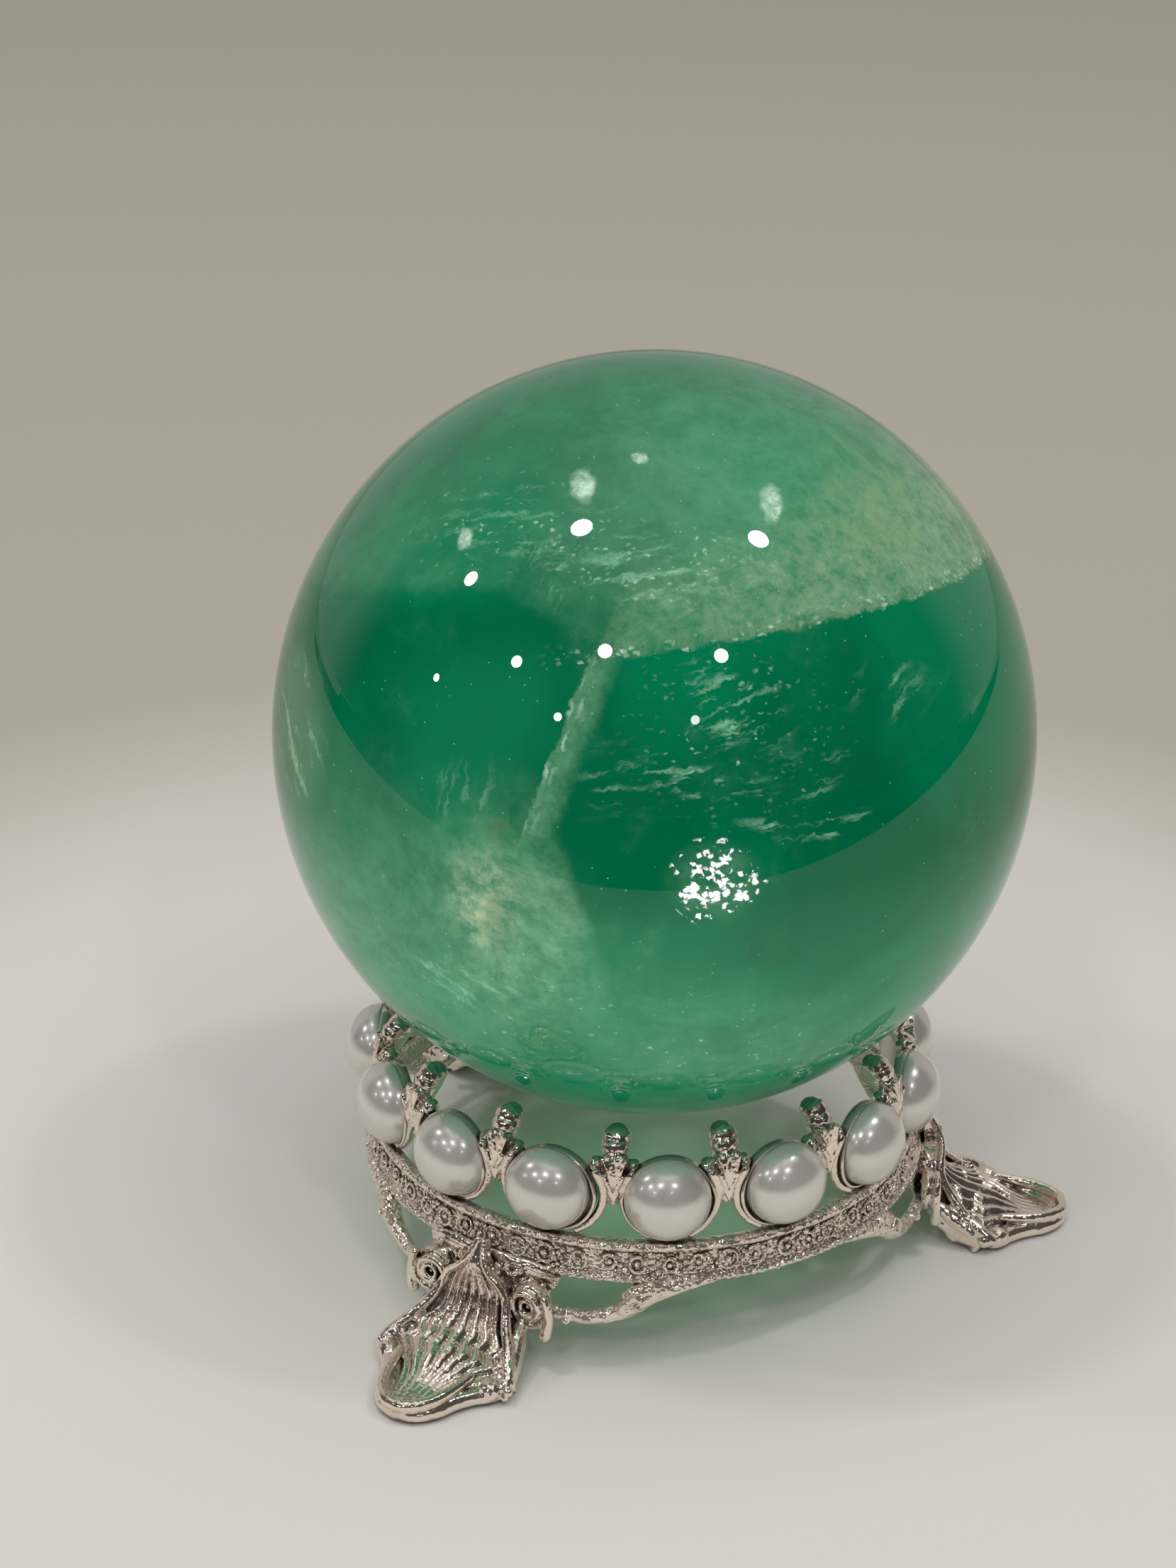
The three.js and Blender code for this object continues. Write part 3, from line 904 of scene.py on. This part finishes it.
# %% [markdown]
# ## The scroll bars
#
# A thin scroll bar runs from each volute along the band's underside and curls up into it, which leaves the
# kidney-shaped hole beside the foot. It is a thread along an arc, with a curl and a grain where it ends.

# %% Scroll bars
def scroll_shells(sign):
    """The shells of one bar, with angles counted from its foot's middle."""
    def arc(degrees, reach, height, radius):
        return arc_row(sign * degrees, reach, height, radius)

    return [
        thread([arc(13.5, 21.8, 4.3, 0.50), arc(17.5, 21.6, 4.2, 0.48), arc(21, 21.45, 4.05, 0.52),
                arc(25, 21.3, 4.35, 0.60), arc(28.5, 21.25, 5.0, 0.70), arc(31.5, 21.2, 5.8, 0.74),
                arc(35, 21.1, 6.6, 0.58), arc(39, 21.0, 7.05, 0.42)], 14),
        thread([arc(28.5, 21.2, 5.8, 0.55), arc(31, 21.15, 6.4, 0.68), arc(34, 21.1, 6.95, 0.52)], 14),
        thread([arc(31, 21.3, 5.5, 0.48), arc(36, 21.2, 6.4, 0.48), arc(40.5, 21.2, 6.9, 0.38),
                arc(45, 21.2, 7.15, 0.22)], 12),
        thread([arc(27.0, 21.75, 4.9, 0.26), arc(28.2, 21.85, 5.7, 0.30), arc(29.6, 21.85, 6.2, 0.30),
                arc(31.0, 21.85, 6.0, 0.26)], 12),
        bead(*arc(30.2, 22.0, 5.5, 0)[:3], 0.26),
        bead(*arc(17.0, 21.9, 3.85, 0)[:3], 0.36),
        bead(*arc(19.0, 21.75, 4.45, 0)[:3], 0.22),
    ]


for place_name, azimuth in FEET.items():
    for hand, sign in (("a", 1), ("b", -1)):
        ending = f"_{place_name}_{hand}"
        bar_mesh = cast("scroll_bar" + ending, scroll_shells(sign))
        place("scroll_bar" + ending, bar_mesh, CAST, "scroll_brace" + ending, azimuth)

# %% [markdown]
# ## The stone ball
#
# The ball is one polished piece of green stone with milky veils inside. Its shape is a fine icosphere, so
# that its outline is round at any distance. The stone's own axes are x to the right, z up and -y to the
# front of its best side, in radii, and every veil is placed on them.

# %% Ball shape
STONE_AXES = [tuple(axis / BALL_RADIUS) for axis in (across, -towards, upwards)]
work = bmesh.new()
bmesh.ops.create_icosphere(work, subdivisions=7, radius=BALL_RADIUS)
ball_mesh = bpy.data.meshes.new("stone_ball")
work.to_mesh(ball_mesh)
work.free()
ball_mesh.shade_smooth()
print("ball faces:", len(ball_mesh.polygons))

# %% [markdown]
# The finish is built up as the stone is: a clear deep green, cloudier green zones, then the veils. A flat
# pattern wrapped round a ball has a seam and two poles, so everything is worked out from a point's own
# place in the stone instead. A veil is a healed crack and shows on the surface along a plane: `past` gives
# how far a point lies past one, and `near` marks a soft ellipsoid. Noise shakes the point first, because
# nothing in a stone has a ruled edge.

# %% Places in the stone
stone = Finish("green_stone_polish")
raw = stone.node("ShaderNodeTexCoord", None, None, "Object")
side, depth, rise = (stone.dot(raw, axis) for axis in STONE_AXES)  # right, away and up, in radii
point = stone.node("ShaderNodeCombineXYZ", None, {0: side, 1: depth, 2: rise})


def shaken(where, scale, amount, rough=0.6):
    """The point moved a little by noise, so that what is drawn on it has a natural edge."""
    push = stone.vector("SUBTRACT", stone.noise(where, scale, 3.0, rough, "Color"), (0.5, 0.5, 0.5))
    return stone.vector("ADD", where, stone.vector("MULTIPLY", push, (amount,) * 3))


bent = shaken(point, 2.6, 0.20, 0.55)
ragged = shaken(point, 16.0, 0.035)
crumbled = shaken(ragged, 60.0, 0.02)


def on_face(right, up):
    """The point of the ball that the camera sees at this place, in radii of its outline."""
    distance = LOOK_DISTANCE / BALL_RADIUS
    slope = 1 / math.sqrt(distance**2 - 1)
    spread = (right**2 + up**2) * slope**2
    reach = distance * spread
    front = (reach + math.sqrt(reach**2 - (1 + spread) * (distance * reach - 1))) / (1 + spread)
    return Vector((right, 0, up)) * slope * (distance - front) - Vector((0, front, 0))


def past(where, first, second, third):
    """How far a point lies past the plane through three points, in radii."""
    normal = (second - first).cross(third - first).normalized()
    return stone.dot(where, tuple(normal)) - normal.dot(first)


def near(where, centre, size, start=0.35):
    """1 at a centre, falling to 0 at an ellipsoid of that size round it."""
    scaled = stone.vector("DIVIDE", stone.vector("SUBTRACT", where, tuple(on_face(*centre))), size)
    return 1 - stone.step(stone.vector("LENGTH", scaled, out=1), start, 1.0)


def between(value, start, rise_end, fall_start, end):
    """1 in a band, with soft edges."""
    return stone.step(value, start, rise_end) * (1 - stone.step(value, fall_start, end))


print("the nearest point of the ball, in radii:", [round(c, 2) for c in on_face(0, 0)])

# %% [markdown]
# The ground colour is a deep clear green that drifts by slow noise. Two finer noises are kept by name,
# because every milky thing in the stone is broken up by the same grain: `fluff` is cottony and `grainy` is
# sugary.

# %% Ground colour
DEEP, CLEAR, MILKY, FRESH = rgb(0, 92, 59), rgb(0, 110, 73), rgb(84, 146, 112), rgb(24, 136, 96)
BEIGE, PALE, WHITE = rgb(140, 164, 132), rgb(122, 172, 140), rgb(196, 226, 204)

zones = stone.noise(bent, 1.7, 4.0, 0.55)
mist = stone.noise(bent, 4.2, 8.0, 0.66)
grainy = stone.step(stone.noise(ragged, 34.0, 6.0, 0.75), 0.30, 0.70)
fluff = stone.step(stone.noise(bent, 13.0, 7.0, 0.68), 0.34, 0.70)
colour = stone.mix(stone.step(zones, 0.36, 0.64), DEEP, CLEAR)
colour = stone.mix(stone.step(mist, 0.52, 0.84) * (0.15 + grainy * 0.3), colour, MILKY)
lighter = near(bent, (-0.46, 0.02), (0.30, 0.6, 0.26), 0.1)
colour = stone.mix(lighter * 0.35, colour, FRESH)

MILK = [((-0.66, -0.50), (0.60, 0.9, 0.50), 0.75),  # centre, size, amount: low on the left,
        ((0.10, -0.80), (0.62, 0.9, 0.24), 0.55),  # under the middle
        ((0.28, 0.80), (0.85, 1.2, 0.36), 0.60)]  # and round the top
for centre, size, amount in MILK:
    milk_here = near(bent, centre, size, 0.2) * (0.22 + fluff * 0.45 + grainy * 0.15)
    colour = stone.mix(milk_here * amount, colour, MILKY)
print("patches of milk:", len(MILK))

# %% [markdown]
# Crystal threads are thin bright needles that lie one way. Drawn one by one they would be hundreds of
# strokes. Voronoi cells pulled long give short separate dashes and noise pulled long gives fibres, so one
# helper makes each kind.

# %% Threads
def lying(where, angle, along, over, deep):
    """Coordinates along and across a direction on the face, each stretched by its own number."""
    lie = Vector((math.cos(angle), 0, math.sin(angle)))
    cross = Vector((-math.sin(angle), 0, math.cos(angle)))
    return stone.node("ShaderNodeCombineXYZ", None, {0: stone.dot(where, tuple(lie * along)),
                                                     1: stone.dot(where, tuple(cross * over)), 2: deep})


def cells(where, scale, output):
    return stone.node("ShaderNodeTexVoronoi", {"feature": "F1"}, {"Vector": where, "Scale": scale}, output)


def flecks(angle, fine, stretch, share, size=(0.10, 0.34)):
    """Short crystal threads: stretched cells, of which only a share is seen."""
    sheet = lying(crumbled, angle, fine / stretch, fine, depth * (fine / stretch))
    pick = stone.dot(cells(sheet, 1.0, "Color"), (1, 0, 0))
    seen = stone.step(pick, 1 - share, 1.1 - share)
    return (1 - stone.step(cells(sheet, 1.0, "Distance"), *size)) * seen


def fibres(angle, fine, stretch):
    """Noise stretched along one direction, broken up into grains."""
    sheet = lying(crumbled, angle, fine / stretch, fine, depth * 3.0)
    return stone.step(stone.noise(sheet, 1.0, 3.0, 0.55), 0.52, 0.66) * (0.25 + grainy * 0.75)


print("nodes in the stone so far:", len(stone.tree.nodes))

# %% [markdown]
# The veil is the stone's main mark: a sheet of milk whose sharp lower edge rises to the right. It fades
# upwards and has white grains along the edge and an olive stain near the right rim. Its left end turns down
# into a narrow arm. Each is one plane with soft steps on its distance.

# %% Veil and arm
VEIL_EDGE = on_face(-0.10, 0.185), on_face(0.29, 0.258), on_face(0.746, 0.400)
ARM_EDGE = on_face(-0.178, 0.186), on_face(-0.302, -0.165), Vector((-0.20, 0.0, 0.1))
above, beside = past(crumbled, *VEIL_EDGE), past(crumbled, *ARM_EDGE)
right_half = stone.step(beside, -0.30, 0.10)
rightwards = stone.step(side, -0.25, 0.62)

veil = (stone.step(above, 0.0, 0.012) * (1 - stone.step(above - rightwards * 0.14, 0.01, 0.24))
        * stone.step(beside, 0.0, 0.03) * (0.45 + rightwards * 0.55))
wide_veil = (stone.step(above - (1 - right_half) * 0.16, 0.0, 0.04)
             * (1 - stone.step(above, 0.15, 0.66)) * (0.40 + rightwards * 0.60))
colour = stone.mix(wide_veil * (0.22 + fluff * 0.42 + grainy * 0.2), colour, MILKY)
colour = stone.mix(veil * (0.02 + grainy * 0.50 + fluff * 0.25), colour, BEIGE)
rim_grains = (flecks(0.2, 80.0, 1.8, 0.7, (0.2, 0.5)) * between(above, 0.0, 0.004, 0.012, 0.05)
              * stone.step(side, -0.3, -0.1) * fluff)
colour = stone.mix(rim_grains * 0.9, colour, WHITE)
olive = near(bent, (0.56, 0.62), (0.26, 0.5, 0.22)) * fluff
colour = stone.mix(olive * 0.45, colour, rgb(104, 138, 84))

arm = (between(beside, 0.0, 0.010, 0.035, 0.085) * (1 - stone.step(above, -0.01, 0.02))
       * stone.step(rise, -0.30, -0.20))
colour = stone.mix(arm * (0.20 + grainy * 0.26), colour, PALE)
arm_streaks = flecks(1.25, 70.0, 5.0, 0.6, (0.1, 0.5)) * (1 - stone.step(beside, 0.01, 0.04))
colour = stone.mix(arm * arm_streaks * 0.55, colour, WHITE)
print("veil through:", [tuple(round(c, 2) for c in corner) for corner in VEIL_EDGE])

# %% [markdown]
# Under the arm lies a cloud, cut off straight on its right, with a cream heart and rusty spots. It is a
# soft ellipsoid, stopped by one more plane.

# %% Cloud
cloud_edge = past(ragged, on_face(-0.235, -0.34), on_face(-0.05, -0.77), Vector((-0.1, 0.0, -0.5)))
cloud = near(bent, (-0.34, -0.50), (0.30, 0.6, 0.42), 0.2) * (1 - stone.step(cloud_edge, -0.01, 0.03))
colour = stone.mix(cloud * (0.12 + fluff * 0.35 + grainy * 0.2), colour, PALE)
cream = near(ragged, (-0.43, -0.46), (0.11, 0.3, 0.17)) * grainy * fluff
colour = stone.mix(cream * 0.9, colour, rgb(176, 186, 150))
rust = (near(ragged, (-0.37, -0.27), (0.07, 0.3, 0.05))
        + near(ragged, (-0.39, -0.50), (0.05, 0.3, 0.12)) * 0.8)
colour = stone.mix(rust * (grainy * fluff * 0.7), colour, rgb(92, 84, 46))
print("cloud at:", [round(c, 2) for c in on_face(-0.34, -0.50)])

# %% [markdown]
# Threads of crystal lie in rows: long ones on the right, short ones above and below. A list holds the
# patches, each with its place, size, direction or share, and amount, and a loop draws each kind.

# %% Rows of threads
WISPS = [((0.22, 0.08), (0.17, 0.4, 0.12), 0.42, 0.75), ((0.12, -0.10), (0.26, 0.4, 0.06), 0.20, 0.65),
         ((0.42, -0.22), (0.24, 0.4, 0.035), 0.26, 1.0), ((0.42, -0.06), (0.11, 0.4, 0.09), 0.36, 0.75),
         ((0.62, 0.14), (0.10, 0.4, 0.10), 0.95, 0.5), ((0.00, 0.44), (0.34, 0.5, 0.16), 0.16, 0.5),
         ((-0.36, 0.52), (0.34, 0.5, 0.16), 0.10, 0.3), ((-0.30, 0.42), (0.10, 0.4, 0.16), 1.15, 0.35),
         ((-0.12, -0.12), (0.16, 0.4, 0.12), 0.1, 0.35), ((-0.46, -0.16), (0.14, 0.4, 0.10), 1.4, 0.35),
         ((-0.48, -0.66), (0.34, 0.6, 0.10), -0.55, 0.45)]
DASHES = [((0.00, 0.44), (0.38, 0.5, 0.16), 0.45, 0.75), ((0.22, 0.00), (0.34, 0.5, 0.24), 0.4, 0.6),
          ((-0.40, 0.52), (0.44, 0.5, 0.16), 0.3, 0.5), ((0.00, -0.80), (0.80, 0.8, 0.20), 0.15, 0.5)]
for centre, size, angle, amount in WISPS:
    wisp = near(bent, centre, size, 0.2) * fibres(angle, 46.0, 5.0)
    colour = stone.mix(wisp * amount, colour, rgb(150, 204, 172))
for centre, size, share, amount in DASHES:
    dashes = flecks(0.15, 88.0, 1.7, share, (0.12, 0.42))
    colour = stone.mix(near(bent, centre, size, 0.3) * dashes * fluff * amount, colour, WHITE)
print("patches of threads:", len(WISPS) + len(DASHES))

# %% [markdown]
# One broken face inside the stone flashes back white, chip by chip, and those glints are painted white
# on its surface. Fine dust is everywhere. The planes inside also throw back faint second pictures of the
# lamps, painted on as pale smudges, and the left rim is frayed.

# %% Painted flash, dust and painted lamp ghosts
chips = stone.vector("MULTIPLY", crumbled, (1.0, 1.0, 1.25))
chip = stone.dot(cells(chips, 66.0, "Color"), (1, 0, 0))
gap = 1 - stone.step(cells(chips, 66.0, "Distance"), 0.52, 0.72)
flash = near(point, (0.172, -0.385), (0.135, 0.3, 0.115), 0.25)
# painted glints: white chips on the broken face stand for the light it throws back
painted_glint_chips = stone.step(chip + flash * 0.60, 0.98, 1.04) * gap * stone.step(flash, 0.0, 0.05)
colour = stone.mix(flash * (0.1 + fluff * 0.3), colour, PALE)
colour = stone.mix(painted_glint_chips, colour, rgb(244, 248, 250))
dusty = stone.step(stone.noise(point, 6.0, 2.0), 0.44, 0.54)
dust = (1 - stone.step(cells(point, 34.0, "Distance"), 0.03, 0.10)) * dusty
colour = stone.mix(dust * 0.5, colour, rgb(160, 214, 184))

# painted reflections: pale smudges for the lamps' faint second pictures thrown back by the planes inside
PAINTED_LAMP_GHOSTS = [((-0.204, 0.640), (0.034, 0.2, 0.052)), ((0.290, 0.605), (0.032, 0.2, 0.060)),
          ((-0.508, 0.492), (0.024, 0.2, 0.034)), ((-0.055, 0.715), (0.026, 0.2, 0.016))]
for centre, size in PAINTED_LAMP_GHOSTS:
    painted_ghost = near(ragged, centre, size, 0.45) * (0.10 + grainy * 0.90)
    colour = stone.mix(painted_ghost * 0.9, colour, rgb(196, 224, 206))
frayed = near(bent, (-0.93, -0.02), (0.12, 0.4, 0.24), 0.3)
colour = stone.mix(frayed * (0.15 + fibres(1.9, 40.0, 7.0) * 0.8), colour, rgb(156, 194, 164))
print("nodes in the stone:", len(stone.tree.nodes))

# %% [markdown]
# The underside, which only the stand sees, gets no light and is painted darker. Light that enters the top
# collects in the lower half, and a real glass shader would need many bounces to show it. A weak glow of the
# stone's own colour, stronger below, stands for it. The base reflects nothing: all the polish is a clear
# coat with the index of glass.

# %% Ball piece
under = 1 - stone.step(stone.dot(raw, (0, 0, 1 / BALL_RADIUS)), -0.86, -0.60)
colour = stone.mix(under * 0.8, colour, rgb(0, 52, 34))
below = 1 - stone.step(rise, -0.75, 0.05)
glow = stone.mix(0.42 + below * 0.58, (0, 0, 0, 1), colour)
stone.set(Base_Color=colour, Roughness=0.30, Specular_IOR_Level=0.0, Coat_Weight=1.0, Coat_Roughness=0.015,
          Coat_IOR=1.52, Emission_Color=glow, Emission_Strength=0.8)

ball_mesh.materials.append(stone.material)
ball = bpy.data.objects.new("stone_ball", ball_mesh)
bpy.context.scene.collection.objects.link(ball)
ball.location = BALL
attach(ball, "ball")
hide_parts("crystal_ball")
print("ball at mm:", [round(c / MM, 1) for c in ball.location])
